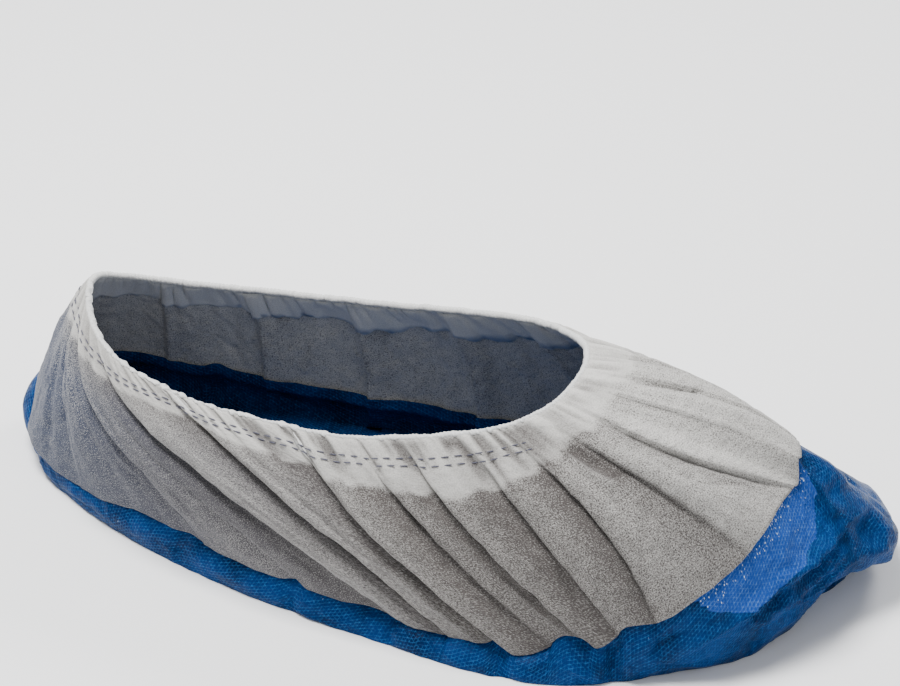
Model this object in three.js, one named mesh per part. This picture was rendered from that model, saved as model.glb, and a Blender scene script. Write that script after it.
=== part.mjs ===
// Disposable overshoe, pulled on over a work boot: a thin white nonwoven upper, gathered
// at the foot opening by an elastic hem, on a baggy blue film sole.
// Millimetres, +Z up. It is drawn with X = 0 at the back of the boot's heel, +X to the toe
// and -Y to the outer side of the foot, and moved at the end so that the origin is the
// middle of its footprint, on the floor.
import * as THREE from 'three';

// ---- Driving dimensions -------------------------------------------------------------------
const CLOTH_WALL = 1.2;      // nonwoven upper
const FILM_WALL = 1.2;       // blue film sole
const FLAP_WALL = 1.2;       // turned-in hem allowance
const CLEARANCE = 0.4;       // between pieces that lie on each other
const ROLL_RADIUS = 1.8;     // rolled edge that holds the elastic
const CASING_DEPTH = 20;     // how far the turned-in hem reaches below the rim
const CASING_START = 3.3;    // where the upper starts, below the middle of the roll
const SEAM_LAP = 8;          // the upper's edge overlaps the film by this much
const GATHER_LIFT = 0.5;     // small pleats that the elastic draws up along the rim
const GATHER_RATIO = 0.12;   // and the most they may be of the distance between two columns
const FOLD_RATIO = 0.24;     // height of a fold against its width
const FOLD_LEAN = 0.7;       // below 1 a fold's crest leans towards the heel
const FOLD_SINK = 0.45;      // share of a fold that lies below the mean surface
const FILM_FOLD_SHARE = 0.45; // how much of a fold carries on into the film

// Rows of the body surface. Casing rows are distances below the rim, middle rows are shares of
// the cloth between casing and seam, and film rows are shares of the way from edge to floor.
const CASING_ROWS = [CASING_START, 8, 14, CASING_DEPTH];
const MIDDLE_ROWS = [0.25, 0.5, 0.75];
const FILM_ROWS = [0.2, 0.45, 0.75, 1];

// Columns of the body surface, as shares of each fold's width, closest at the valley.
const FOLD_STEPS = [0, 0.14, 0.34, 0.6, 0.84];

// Section angles of the rolled edge, in degrees up from the outer side.
const ROLL_ANGLES = [-15, 35, 90, 145, 200];

/** Turns rows of numbers into objects with named columns. */
function table(columns, rows) {
  return rows.map((row) => Object.fromEntries(columns.map((name, i) => [name, row[i]])));
}

// Sections round the overshoe, from the heel along the outer side to the toe and back.
// rim: the foot opening; edge: where the white cloth ends; foot: where the film meets the
// floor; belly: how far cloth and film swell out; sag: above 1 the film's swell sits low.
const STATIONS = table(
  ['name', 'rim', 'edge', 'foot', 'clothBelly', 'filmBelly', 'sag'],
  [
    ['heel', [5, 3, 84], [-23, 8, 26], [-21, 4], 3, 10, 0.6],
    ['heel outer', [12, -14, 79], [-19, -16, 12], [-13, -19], 3, 3, 0.8],
    ['quarter 1', [24, -26, 75], [16, -37, 9], [19, -39], 5, 2, 0.8],
    ['quarter 2', [42, -35, 72], [66, -53, 12], [62, -56], 6, 2, 0.8],
    ['side 1', [68, -40, 69], [118, -63, 10], [114, -67], 7, 2, 0.8],
    ['side 2', [97, -43, 69], [162, -68, 8], [160, -73], 7, 2, 0.8],
    ['side 3', [130, -45, 71], [196, -69, 9], [196, -76], 7, 2, 0.8],
    ['ball', [161, -44, 78], [226, -65, 14], [228, -71], 7, 2, 0.9],
    ['toe outer', [188, -37, 84], [257, -54, 26], [261, -52], 8, 4, 1.0],
    ['toe corner', [203, -22, 88], [281, -29, 44], [287, -31], 9, 7, 1.0],
    ['toe', [208, -4, 91], [289, 4, 57], [301, 2], 8, 15, 1.1],
    ['toe tip', [206, 10, 91], [287, 22, 58], [310, 27], 7, 25, 1.4],
    ['toe inner', [199, 21, 89], [277, 38, 50], [307, 47], 3, 17, 1.5],
    ['ball inner', [180, 34, 84], [251, 52, 30], [278, 62], 2, 6, 1.0],
    ['side inner 3', [150, 40, 78], [208, 57, 16], [212, 62], 4, 3, 0.9],
    ['side inner 2', [112, 42, 72], [150, 53, 13], [150, 57], 5, 3, 0.8],
    ['side inner 1', [72, 39, 70], [92, 48, 14], [90, 52], 5, 3, 0.8],
    ['quarter inner', [36, 30, 72], [38, 43, 18], [34, 46], 4, 5, 0.8],
    ['heel inner', [12, 18, 78], [-8, 30, 24], [-8, 32], 3, 9, 0.6],
  ],
);

// Folds that fan out from the opening. The valley before each fold runs from the station
// rim at the opening, through middle halfway down, to edge at the end of the cloth; lift is
// the fold's greatest height and droop how far its end hangs below the edge line (or, below
// 0, is drawn up over it), both in millimetres.
const FOLDS = table(
  ['rim', 'middle', 'edge', 'lift', 'droop'],
  [
    [-0.45, -0.45, -0.45, 2.0, 0],
    [0.05, 0.6, 0.7, 2.0, 0],
    [0.3, 1.5, 1.9, 2.5, 0],
    [0.55, 2.55, 3.15, 4.5, 0],
    [1.65, 3.9, 4.9, 7.0, 0],
    [3.45, 4.9, 5.5, 6.0, 0],
    [5.25, 5.65, 6.2, 6.0, 3],
    [6.1, 6.4, 6.75, 5.0, -4],
    [6.65, 6.9, 7.2, 6.5, 3],
    [7.45, 7.55, 7.5, 5.5, -3],
    [7.95, 8.15, 7.9, 5.0, 0],
    [8.55, 8.85, 9.0, 6.0, -1],
    [9.15, 9.35, 9.95, 5.0, 0],
    [9.6, 9.85, 10.3, 4.0, -3],
    [10.0, 10.55, 11.4, 3.0, 0],
    [10.9, 11.5, 12.1, 3.0, 1],
    [11.7, 12.2, 12.7, 3.5, 1],
    [12.5, 12.95, 13.4, 4.5, 2],
    [13.4, 13.8, 14.2, 5.0, 1],
    [14.4, 14.7, 15.0, 5.0, 2],
    [15.4, 15.6, 15.8, 5.0, 1],
    [16.4, 16.5, 16.6, 4.5, 2],
    [17.4, 17.4, 17.4, 3.5, 0],
  ],
);

// ---- The body surface ---------------------------------------------------------------------

/** A closed smooth curve through one point for each station, read by station number. */
function stationCurve(pointOf) {
  const curve = new THREE.CatmullRomCurve3(STATIONS.map(pointOf), true, 'catmullrom', 0.5);
  return (station) => {
    const turn = (station / STATIONS.length + 1) % 1;
    return curve.getPoint(turn);
  };
}

const rimAt = stationCurve((s) => new THREE.Vector3(...s.rim));
const edgeAt = stationCurve((s) => new THREE.Vector3(...s.edge));
const footAt = stationCurve((s) => new THREE.Vector3(...s.foot, 0));
const swellAt = stationCurve((s) => new THREE.Vector3(s.clothBelly, s.filmBelly, s.sag));

/** Height of a fold across its width, 0 at both valleys and 1 at the crest. */
function foldProfile(share) {
  return Math.sin(Math.PI * share ** FOLD_LEAN);
}

/** Station of the valley before a fold, at a level down the cloth. */
function valleyStation(fold, level) {
  return fold.rim * (1 - level) * (1 - 2 * level)
    + fold.middle * 4 * level * (1 - level)
    + fold.edge * level * (2 * level - 1);
}

/** Station of a column at a level down the cloth, 0 at the rim and 1 at the edge. */
function stationOf(column, level) {
  const before = valleyStation(column.fold, level);
  const after = valleyStation(column.next, level) + column.turn;
  return THREE.MathUtils.lerp(before, after, column.share);
}

/** The lines that run down the overshoe, several for each fold. */
function makeColumns() {
  const columns = [];
  FOLDS.forEach((fold, i) => {
    const last = i === FOLDS.length - 1;
    const next = FOLDS[(i + 1) % FOLDS.length];
    const turn = last ? STATIONS.length : 0;
    for (const share of FOLD_STEPS) {
      const column = { fold, next, turn, share, profile: foldProfile(share) };
      const rimStation = stationOf(column, 0);
      const edgeStation = stationOf(column, 1);
      const filmSwell = swellAt(edgeStation);
      column.rimDrop = rimAt(rimStation).distanceTo(edgeAt(rimStation));
      column.edgeDrop = rimAt(edgeStation).distanceTo(edgeAt(edgeStation));
      column.edge = hangingEdge(column, edgeStation);
      column.foot = footAt(edgeStation);
      column.filmBelly = filmSwell.y;
      column.sag = filmSwell.z;
      columns.push(column);
    }
  });
  return columns;
}

/** Where the cloth ends at a station, with the droop of a column's fold. */
function hangingEdge(column, station) {
  const edge = edgeAt(station);
  const towardsFloor = footAt(station).sub(edge).normalize();
  return edge.addScaledVector(towardsFloor, column.fold.droop * column.profile);
}

const COLUMNS = makeColumns();

/** The vectors at right angles to a row, given the way that each column runs down. */
function outward(points, downward) {
  return points.map((point, i) => {
    const before = points[(i + points.length - 1) % points.length];
    const after = points[(i + 1) % points.length];
    const along = after.clone().sub(before);
    return downward[i].clone().cross(along).normalize();
  });
}

/** Greatest height of a column's fold where its valleys lie a given level down the cloth. */
function foldLift(column, level) {
  const valleyAt = (fold) => {
    const station = valleyStation(fold, level);
    return rimAt(station).lerp(edgeAt(station), level);
  };
  const width = valleyAt(column.fold).distanceTo(valleyAt(column.next));
  return Math.min(column.fold.lift, FOLD_RATIO * width);
}

/** One row of the cloth; levelOf gives each column's level, 0 at the rim and 1 at the edge. */
function clothRow(levelOf) {
  const levels = COLUMNS.map(levelOf);
  const stations = COLUMNS.map((c, i) => stationOf(c, levels[i]));
  const edges = COLUMNS.map((c, i) => hangingEdge(c, stations[i]));
  const chord = stations.map((station, i) => rimAt(station).lerp(edges[i], levels[i]));
  const downward = stations.map((station, i) => edges[i].clone().sub(rimAt(station)));
  const normals = outward(chord, downward);
  return COLUMNS.map((c, i) => {
    const level = levels[i];
    const belly = swellAt(stations[i]).x * 4 * level * (1 - level);
    const grow = Math.min(level / 0.3, 1);
    const fade = 1 - 0.55 * level ** 4;
    const fold = foldLift(c, level) * (c.profile - FOLD_SINK) * grow * fade;
    return chord[i].addScaledVector(normals[i], belly + fold);
  });
}

/** One row of the film, from share 0 at the cloth's edge to share 1 on the floor. */
function filmRow(share) {
  const chord = COLUMNS.map((c) => c.edge.clone().lerp(c.foot, share));
  const downward = COLUMNS.map((c) => c.foot.clone().sub(c.edge));
  const normals = outward(chord, downward);
  return COLUMNS.map((c, i) => {
    const sideways = normals[i].setZ(0).normalize();
    const belly = c.filmBelly * Math.sin(Math.PI * share ** c.sag);
    const fold = foldLift(c, 1) * (c.profile - FOLD_SINK) * FILM_FOLD_SHARE * (1 - share) ** 0.8;
    return chord[i].addScaledVector(sideways, belly + fold);
  });
}

/** Small pleats: every other column of a casing row stands proud, the rest lie low. */
function addGathers(points, normals, strength) {
  const smooth = points.map((point) => point.clone());
  points.forEach((point, i) => {
    const spacing = smooth[i].distanceTo(smooth[(i + 1) % smooth.length]);
    const lift = Math.min(GATHER_LIFT, GATHER_RATIO * spacing) * strength;
    point.addScaledVector(normals[i], i % 2 === 0 ? -lift : lift);
  });
}

/** All rows of the body surface, with a normal at each point. */
function makeSurface() {
  const middleLevel = (column, share) => {
    const start = CASING_DEPTH / column.rimDrop;
    const end = 1 - SEAM_LAP / column.edgeDrop;
    return THREE.MathUtils.lerp(start, end, share);
  };
  const rows = [clothRow(() => 0)];
  for (const depth of CASING_ROWS) {
    rows.push(clothRow((c) => depth / c.rimDrop));
  }
  for (const share of MIDDLE_ROWS) {
    rows.push(clothRow((c) => middleLevel(c, share)));
  }
  rows.push(clothRow((c) => middleLevel(c, 1)));
  rows.push(clothRow(() => 1));
  for (const share of FILM_ROWS) {
    rows.push(filmRow(share));
  }
  const normals = rows.map((row, r) => {
    const above = rows[Math.max(r - 1, 0)];
    const below = rows[Math.min(r + 1, rows.length - 1)];
    return outward(row, above.map((point, i) => below[i].clone().sub(point)));
  });
  [0, ...CASING_ROWS].forEach((depth, r) => {
    addGathers(rows[r], normals[r], 1 - depth / CASING_DEPTH);
  });
  return { rows, normals };
}

const SURFACE = makeSurface();
const FIRST_CLOTH_ROW = 1;
const LAST_CASING_ROW = CASING_ROWS.length;
const LAP_ROW = LAST_CASING_ROW + MIDDLE_ROWS.length + 1;
const EDGE_ROW = LAP_ROW + 1;
const FLOOR_ROW = EDGE_ROW + FILM_ROWS.length;

/** A row of the body surface moved inwards by a depth. */
function sunkRow(row, depth) {
  const points = SURFACE.rows[row].map((point, i) => (
    point.clone().addScaledVector(SURFACE.normals[row][i], -depth)
  ));
  return { row, points };
}

/** Rows first to last, each moved inwards by a depth. */
function sunkRows(first, last, depth) {
  const rings = [];
  for (let row = first; row <= last; row += 1) {
    rings.push(sunkRow(row, depth));
  }
  return rings;
}

// ---- Solids from rings --------------------------------------------------------------------

/**
 * A closed solid through rings of points. Without caps the last ring joins the first; with
 * caps the first ring is filled with a flat face that looks up and the last with one that
 * looks down. The diagonals follow the
 * body surface's own rows, so two pieces that lie on each other have the same facets.
 */
function ringSolid(rings, capped) {
  const count = COLUMNS.length;
  const positions = rings.flatMap((ring) => ring.points.flatMap((p) => p.toArray()));
  const index = [];
  const strips = capped ? rings.length - 1 : rings.length;
  for (let k = 0; k < strips; k += 1) {
    const next = (k + 1) % rings.length;
    const downwards = rings[next].row >= rings[k].row;
    for (let i = 0; i < count; i += 1) {
      const j = (i + 1) % count;
      const a = k * count + i;
      const b = k * count + j;
      const c = next * count + j;
      const d = next * count + i;
      if (downwards) {
        index.push(a, d, c, a, c, b);
      } else {
        index.push(a, d, b, d, c, b);
      }
    }
  }
  if (capped) {
    addCap(index, rings[0].points, 0, true);
    addCap(index, rings[rings.length - 1].points, (rings.length - 1) * count, false);
  }
  const geometry = new THREE.BufferGeometry();
  geometry.setAttribute('position', new THREE.Float32BufferAttribute(positions, 3));
  geometry.setIndex(index);
  geometry.computeVertexNormals();
  return geometry;
}

/** Fills a level ring with triangles that face up or down. */
function addCap(index, points, offset, facesUp) {
  const outline = points.map((p) => new THREE.Vector2(p.x, p.y));
  for (const [a, b, c] of THREE.ShapeUtils.triangulateShape(outline, [])) {
    const area = (outline[b].x - outline[a].x) * (outline[c].y - outline[a].y)
      - (outline[b].y - outline[a].y) * (outline[c].x - outline[a].x);
    const turnsUp = area > 0;
    if (turnsUp === facesUp) {
      index.push(offset + a, offset + b, offset + c);
    } else {
      index.push(offset + a, offset + c, offset + b);
    }
  }
}

// ---- Pieces -------------------------------------------------------------------------------

/** White nonwoven upper, from the casing down to its edge outside the film. */
function makeUpper() {
  const outside = sunkRows(FIRST_CLOTH_ROW, EDGE_ROW, 0);
  const inside = sunkRows(FIRST_CLOTH_ROW, EDGE_ROW, CLOTH_WALL);
  return ringSolid([...outside, ...inside.reverse()], false);
}

/** Elastic hem: the rolled edge round the opening and the allowance turned in below it. */
function makeElasticHem() {
  const depth = CLOTH_WALL + CLEARANCE;
  const flapOutside = sunkRows(FIRST_CLOTH_ROW, LAST_CASING_ROW, depth);
  const flapInside = sunkRows(FIRST_CLOTH_ROW, LAST_CASING_ROW, depth + FLAP_WALL);
  const rim = SURFACE.rows[0];
  const normals = SURFACE.normals[0];
  const below = SURFACE.rows[FIRST_CLOTH_ROW];
  const roll = ROLL_ANGLES.map((degrees) => {
    const angle = THREE.MathUtils.degToRad(degrees);
    const points = rim.map((point, i) => {
      const upward = point.clone().sub(below[i]).normalize();
      return point.clone()
        .addScaledVector(normals[i], ROLL_RADIUS * Math.cos(angle) - depth)
        .addScaledVector(upward, ROLL_RADIUS * Math.sin(angle));
    });
    return { row: 0, points };
  });
  return ringSolid([...roll.reverse(), ...flapOutside, ...flapInside.reverse()], false);
}

/** Blue film sole: a shallow bag with a flat bottom, its top edge inside the upper. */
function makeSoleFilm() {
  const lapDepth = CLOTH_WALL + CLEARANCE;
  const outside = sunkRows(LAP_ROW, EDGE_ROW, lapDepth);
  const inside = sunkRows(LAP_ROW, EDGE_ROW, lapDepth + FILM_WALL);
  for (let row = EDGE_ROW + 1; row < FLOOR_ROW; row += 1) {
    const share = FILM_ROWS[row - EDGE_ROW - 1];
    outside.push(sunkRow(row, lapDepth * (1 - share)));
    inside.push(sunkRow(row, lapDepth * (1 - share) + FILM_WALL));
  }
  const foot = SURFACE.rows[FLOOR_ROW];
  const inner = foot.map((point, i) => {
    const normal = SURFACE.normals[FLOOR_ROW][i].clone().setZ(0).normalize();
    return point.clone().addScaledVector(normal, -FILM_WALL).setZ(FILM_WALL);
  });
  outside.push({ row: FLOOR_ROW, points: foot });
  inside.push({ row: FLOOR_ROW, points: inner });
  return ringSolid([...inside.reverse(), ...outside], true);
}

// ---- Assembly -----------------------------------------------------------------------------

function piece(name, geometry, color, roughness) {
  const material = new THREE.MeshStandardMaterial({ color, roughness, metalness: 0 });
  const mesh = new THREE.Mesh(geometry, material);
  mesh.name = name;
  return mesh;
}

const overshoe = new THREE.Group();
overshoe.add(piece('upper', makeUpper(), 0xd8d9d8, 0.9));
overshoe.add(piece('elastic_hem', makeElasticHem(), 0xececea, 0.9));
overshoe.add(piece('sole_film', makeSoleFilm(), 0x1668b8, 0.35));

const box = new THREE.Box3().setFromObject(overshoe);
const middle = box.getCenter(new THREE.Vector3());
overshoe.position.set(-middle.x, -middle.y, -box.min.z);

export default overshoe;
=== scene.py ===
"""A disposable overshoe in its worn form, in the order in which it is made: the white nonwoven
upper, the blue film sole that is welded to its edge, the elastic hem round the opening and the
two rows of stitches that close the hem. Metres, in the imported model's frame."""
from functools import partial

import bpy
import numpy as np
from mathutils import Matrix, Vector


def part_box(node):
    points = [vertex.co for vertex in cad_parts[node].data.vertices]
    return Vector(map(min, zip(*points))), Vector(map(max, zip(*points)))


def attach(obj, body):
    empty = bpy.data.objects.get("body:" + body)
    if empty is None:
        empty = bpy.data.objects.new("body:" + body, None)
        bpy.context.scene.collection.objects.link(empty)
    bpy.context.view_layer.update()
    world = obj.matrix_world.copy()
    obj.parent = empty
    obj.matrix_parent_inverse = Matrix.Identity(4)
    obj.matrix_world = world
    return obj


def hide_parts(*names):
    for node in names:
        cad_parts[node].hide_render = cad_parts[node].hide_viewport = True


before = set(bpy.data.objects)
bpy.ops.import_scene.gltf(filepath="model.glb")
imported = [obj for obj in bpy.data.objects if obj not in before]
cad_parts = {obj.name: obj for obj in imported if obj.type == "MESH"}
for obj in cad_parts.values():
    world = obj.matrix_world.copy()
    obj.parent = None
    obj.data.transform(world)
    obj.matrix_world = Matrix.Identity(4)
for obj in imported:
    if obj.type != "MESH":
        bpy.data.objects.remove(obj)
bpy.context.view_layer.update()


# ---- Studio ----
# A pale seamless floor, a soft light high on the heel side, weaker ones on the toe side and
# behind, and a camera about a metre away that looks down on the overshoe's outer side.

def linear(hex_colour):
    """Linear RGBA of an sRGB colour written as six hex digits."""
    channels = [int(hex_colour[k:k + 2], 16) / 255 for k in (0, 2, 4)]
    return [c / 12.92 if c <= 0.04045 else ((c + 0.055) / 1.055) ** 2.4 for c in channels] + [1]


def fill(node, links):
    """Fills a node's inputs with values, or joins them to sockets or to nodes' first outputs."""
    for name, value in links.items():
        if isinstance(value, bpy.types.Node):
            value = value.outputs[0]
        if isinstance(value, bpy.types.NodeSocket):
            node.id_data.links.new(value, node.inputs[name])
        else:
            node.inputs[name].default_value = value
    return node


def add_node(tree, kind, links=None, **settings):
    """Adds a node, with the links of its inputs and its own settings."""
    node = tree.nodes.new(kind)
    for name, value in settings.items():
        setattr(node, name, value)
    return fill(node, links or {})


def new_material(name):
    """A material, the Principled shader that it ends in, and add_node for its tree."""
    material = bpy.data.materials.new(name)
    material.use_nodes = True
    tree = material.node_tree
    tree.nodes.clear()
    shader = add_node(tree, "ShaderNodeBsdfPrincipled")
    add_node(tree, "ShaderNodeOutputMaterial", {"Surface": shader})
    return material, shader, partial(add_node, tree)


def put_in_scene(name, data):
    """A new object at the origin that holds the data."""
    thing = bpy.data.objects.new(name, data)
    bpy.context.scene.collection.objects.link(thing)
    return thing


def look_from(thing, place, aim):
    """Puts a lamp or the camera at a place, level, and turned to its aim."""
    thing.location = place
    thing.rotation_euler = (Vector(aim) - Vector(place)).to_track_quat("-Z", "Y").to_euler()


FLOOR_SIZE = 6.0
FLOOR_DROP = 0.0002  # keeps it clear of the film
FLOOR_COLOUR = "f8f8f8"
WORLD_COLOUR = "f4f6fa"
WORLD_STRENGTH = 0.55

half = FLOOR_SIZE / 2
floor_mesh = bpy.data.meshes.new("studio_floor")
floor_mesh.from_pydata([(-half, -half, -FLOOR_DROP), (half, -half, -FLOOR_DROP),
                        (half, half, -FLOOR_DROP), (-half, half, -FLOOR_DROP)],
                       [], [(0, 1, 2, 3)])
studio_floor = put_in_scene("studio_floor", floor_mesh)
painted_board, shader, node = new_material("painted board")
fill(shader, {"Base Color": linear(FLOOR_COLOUR), "Roughness": 0.8})
floor_mesh.materials.append(painted_board)

studio_world = bpy.data.worlds.new("studio")
bpy.context.scene.world = studio_world
studio_world.use_nodes = True
fill(studio_world.node_tree.nodes["Background"],
     {"Color": linear(WORLD_COLOUR), "Strength": WORLD_STRENGTH})

# name, place, aimed at, width, height, watts
SOFTBOXES = [
    ("key_light", (-0.36, 0.02, 1.22), (0.0, 0.0, 0.03), 0.5, 0.5, 33.0),
    ("fill_light", (1.0, -0.9, 0.7), (0.02, 0.0, 0.03), 1.0, 0.8, 2.0),
    ("rim_light", (0.45, 0.9, 0.9), (0.05, 0.0, 0.03), 0.4, 0.3, 8.0),
]
for name, place, aim, width, height, watts in SOFTBOXES:
    lamp = bpy.data.lights.new(name, "AREA")
    lamp.shape = "RECTANGLE"
    lamp.size, lamp.size_y, lamp.energy = width, height, watts
    look_from(put_in_scene(name, lamp), place, aim)

CAMERA_PLACE = (0.2721, -0.7308, 0.6239)
CAMERA_AIM = (0.0220, -0.0312, 0.1160)
CAMERA_LENS = 101.3

camera = put_in_scene("camera", bpy.data.cameras.new("camera"))
camera.data.lens = CAMERA_LENS
look_from(camera, CAMERA_PLACE, CAMERA_AIM)
bpy.context.scene.camera = camera


# ---- Nonwoven upper ----
# White spunbond polypropylene, about 40 g a square metre and 0.3 mm thick: a mat of fine
# threads melted together at rows of small points. A flat piece is cut, welded to the film along
# its edge and drawn in by the elastic, so that it falls in folds that fan out from the opening.

MM = 0.001
CLOTH_WALL = 0.6  # drawn twice as thick as the cloth is, mm
CLOTH_START = 1.0  # the cloth goes under the hem's roll at this depth, mm
CLOTH_ROWS = 64
COLUMN_PITCH = (0.72, 1.7, 2.1)  # between columns at the rim, the middle and the edge, mm
STATION_STEP = 0.03  # a direction is worked out from the points this far on either side

# Sections round the overshoe, mm, with X from the back of the boot's heel and -Y to the outer
# side. rim: the opening; edge: the end of the cloth; foot: where the film meets the floor;
# belly: how far cloth and film swell out; sag: above 1 the film's swell sits low; pleats: how
# strongly the elastic gathers the cloth; double: depth of the turned-in cloth, mm; dark: how
# dark the cloth is painted, partly for the dark inside that shows through it and partly as
# painted shade; blue: how much the film behind it shows through.
STATION_COLUMNS = ("name", "rim", "edge", "foot", "cloth_belly", "film_belly", "sag",
                   "pleats", "double", "dark", "blue")
STATIONS = [dict(zip(STATION_COLUMNS, row)) for row in [
    ("heel", (5, 3, 84), (-23, 8, 26), (-21, 4, 0), 3, 10, 0.6, 0.4, 18, 1.06, 0.85),
    ("heel outer", (12, -14, 79), (-19, -16, 12), (-13, -19, 0), 3, 0, 0.8, 0.3, 18, 1.14, 0.95),
    ("quarter 1", (24, -26, 75), (16, -37, 9), (19, -39, 0), 5, 2, 0.8, 0.3, 19, 1.04, 0.75),
    ("quarter 2", (42, -35, 72), (66, -53, 12), (62, -56, 0), 6, 2, 0.8, 0.5, 20, 0.97, 0.42),
    ("side 1", (68, -40, 69), (118, -63, 10), (114, -67, 0), 7, 2, 0.8, 0.8, 21, 0.88, 0.22),
    ("side 2", (97, -43, 69), (162, -68, 8), (160, -73, 0), 7, 2, 0.8, 1.0, 22, 0.88, 0.1),
    ("side 3", (130, -45, 71), (196, -69, 9), (196, -76, 0), 7, 2, 0.8, 1.0, 22, 0.92, 0.0),
    ("ball", (161, -44, 78), (226, -65, 14), (228, -71, 0), 7, 2, 0.9, 1.0, 25, 0.98, 0.0),
    ("toe outer", (188, -37, 84), (257, -54, 26), (261, -52, 0), 8, 4, 1.0, 1.0, 21, 0.9, 0.0),
    ("toe corner", (203, -22, 88), (281, -29, 44), (287, -31, 0), 9, 7, 1.0, 0.8, 17, 0.66, 0.0),
    ("toe", (208, -4, 91), (289, 4, 57), (301, 2, 0), 8, 15, 1.1, 0.5, 16, 0.5, 0.0),
    ("toe tip", (206, 10, 91), (287, 22, 58), (310, 27, 0), 7, 25, 1.4, 0.5, 17, 0.48, 0.0),
    ("toe inner", (199, 21, 89), (277, 38, 50), (307, 47, 0), 3, 17, 1.5, 0.6, 18, 0.5, 0.0),
    ("ball inner", (180, 34, 84), (251, 52, 30), (278, 62, 0), 2, 6, 1.0, 0.8, 20, 0.62, 0.0),
    ("side inner 3", (150, 40, 78), (208, 57, 16), (212, 62, 0), 4, 3, 0.9, 0.9, 22, 0.72, 0.0),
    ("side inner 2", (112, 42, 72), (150, 53, 13), (150, 57, 0), 5, 3, 0.8, 0.9, 21, 0.76, 0.0),
    ("side inner 1", (72, 39, 70), (92, 48, 14), (90, 52, 0), 5, 3, 0.8, 0.8, 20, 0.78, 0.1),
    ("quarter inner", (36, 30, 72), (38, 43, 18), (34, 46, 0), 4, 5, 0.8, 0.6, 19, 0.8, 0.4),
    ("heel inner", (12, 18, 78), (-8, 30, 24), (-8, 32, 0), 3, 9, 0.6, 0.5, 18, 0.82, 0.7),
]]

# Folds that fan out from the opening. The valley before each fold runs from the station rim
# through middle, halfway down, to edge. lift: the fold's greatest height; droop: how far its
# end hangs below the edge line (below 0: is drawn up), mm; tone: painted shade on the fold
# (above 0) or painted light (below 0).
FOLD_COLUMNS = ("rim", "middle", "edge", "lift", "droop", "tone")
FOLDS = [dict(zip(FOLD_COLUMNS, row)) for row in [
    (-0.45, -0.45, -0.45, 2.0, 0, 0.0),
    (0.05, 0.6, 0.7, 2.0, 0, 0.0),
    (0.3, 1.5, 1.9, 2.5, 0, 0.1),
    (0.55, 2.55, 3.15, 4.5, 0, 0.15),
    (1.65, 3.9, 4.9, 7.0, 0, 0.0),
    (3.45, 4.9, 5.5, 6.0, 0, 0.0),
    (5.25, 5.65, 6.2, 6.0, 3, 0.0),
    (6.1, 6.4, 6.75, 5.0, -4, 0.05),
    (6.65, 6.9, 7.2, 6.5, 3, 0.0),
    (7.45, 7.55, 7.5, 5.5, -3, 0.0),
    (7.95, 8.15, 7.9, 5.0, 0, 0.0),
    (8.55, 8.85, 9.0, 4.6, -1, 0.0),
    (9.15, 9.35, 9.95, 4.2, 0, -0.2),
    (9.6, 9.85, 10.3, 2.6, -2, -0.1),
    (10.0, 10.55, 11.4, 1.8, 0, 0.0),
    (10.9, 11.5, 12.1, 2.0, 1, 0.0),
    (11.7, 12.2, 12.7, 3.5, 1, 0.0),
    (12.5, 12.95, 13.4, 4.5, 2, 0.0),
    (13.4, 13.8, 14.2, 5.0, 1, 0.0),
    (14.4, 14.7, 15.0, 5.0, 2, 0.0),
    (15.4, 15.6, 15.8, 5.0, 1, 0.0),
    (16.4, 16.5, 16.6, 4.5, 2, 0.0),
    (17.4, 17.4, 17.4, 3.5, 0, 0.0),
]]
FOLD_LEAN = 0.55  # below 1 a fold's crest leans towards the heel
FOLD_CROWN = 0.8  # below 1 a fold is flat-topped, with steep sides
FOLD_SINK = 0.45  # share of a fold that lies below the mean surface
FOLD_RATIO = 0.24  # height of a fold against its width, at most
FOLD_TUCK = 0.45  # how far its crest hangs over the valley before it, against its height
FOLD_RISE = 0.3  # level by which a fold has its whole height
FOLD_EASE = 0.55  # share of its height that it loses on the way down to the edge


def unit(vectors):
    """The same vectors, one long."""
    return vectors / np.maximum(np.linalg.norm(vectors, axis=-1, keepdims=True), 1e-9)


def smooth(low, high, value):
    """0 below low, 1 above high, and an even step between them."""
    t = np.clip((np.asarray(value, float) - low) / (high - low), 0, 1)
    return t * t * (3 - 2 * t)


def at_station(column, station):
    """A column of the sections, read by station number along a smooth closed curve."""
    values = np.array([row[column] for row in STATIONS], float)
    count = len(values)
    station = np.asarray(station, float) % count
    index = np.floor(station).astype(int)
    t = station - index
    if values.ndim == 2:
        t = t[..., None]
    p0, p1, p2, p3 = (values[(index + k) % count] for k in (-1, 0, 1, 2))
    return 0.5 * (2 * p1 + (p2 - p0) * t + (2 * p0 - 5 * p1 + 4 * p2 - p3) * t ** 2
                  + (3 * p1 - p0 - 3 * p2 + p3) * t ** 3)


def valley_stations(level):
    """Station of each valley at each level; the first one is repeated a whole turn on."""
    level = np.asarray(level, float)[:, None]
    rim, middle, edge = (np.array([f[k] for f in FOLDS] + [FOLDS[0][k] + len(STATIONS)])
                         for k in ("rim", "middle", "edge"))
    return (rim * (1 - level) * (1 - 2 * level) + middle * 4 * level * (1 - level)
            + edge * level * (2 * level - 1))


def hanging_edge(station, droop):
    """The cloth's edge, moved towards the foot of the film by the droop, mm."""
    edge, foot = at_station("edge", station), at_station("foot", station)
    return edge + unit(foot - edge) * np.broadcast_to(droop, np.shape(station))[..., None]


def swollen(station, share, top, bottom, down, belly, flat=(1, 1, 1)):
    """Points a share of the way from a top to a bottom curve, swollen by a belly, mm, and the
    direction out of the surface there."""
    def chord(at):
        return top(at) + (bottom(at) - top(at)) * share[..., None]

    across = chord(station + STATION_STEP) - chord(station - STATION_STEP)
    out = unit(np.cross(down, across) * flat)
    return chord(station) + out * belly[..., None], out


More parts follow.
